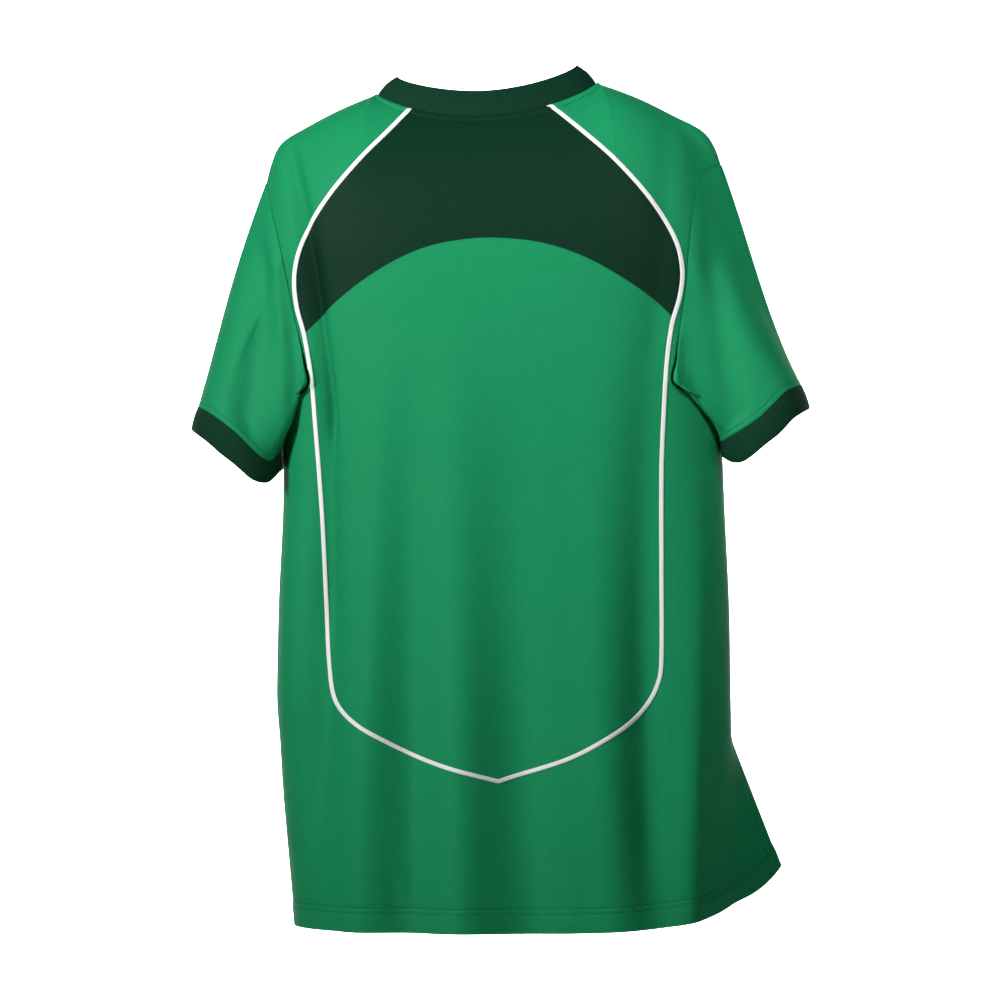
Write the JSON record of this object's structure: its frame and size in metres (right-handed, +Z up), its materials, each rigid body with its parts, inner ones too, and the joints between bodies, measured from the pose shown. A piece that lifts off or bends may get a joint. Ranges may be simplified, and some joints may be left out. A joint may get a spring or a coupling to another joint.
{
  "type": "football jersey",
  "caption": "Short-sleeved green football jersey, filled out with no wearer: dark rib collar and cuffs, white piping outlining a back panel, hem flaring at one side.",
  "frame": {"origin": "midway between the two points where neck and shoulders meet, where a wearer's shoulders carry the shirt", "axes": "+X to the wearer's left, +Y to the wearer's back, +Z up"},
  "size_m": [0.544, 0.2253, 0.7545],
  "materials": {
    "green_knit": "matte",
    "dark_rib": "matte",
    "white_tape": "matte"
  },
  "bodies": {
    "root": {"back": "green_knit", "front": "green_knit", "sleeve_left": "green_knit", "sleeve_right": "green_knit", "cuff_left": "dark_rib", "cuff_right": "dark_rib", "collar": "dark_rib", "piping": "white_tape"}
  },
  "joints": []
}
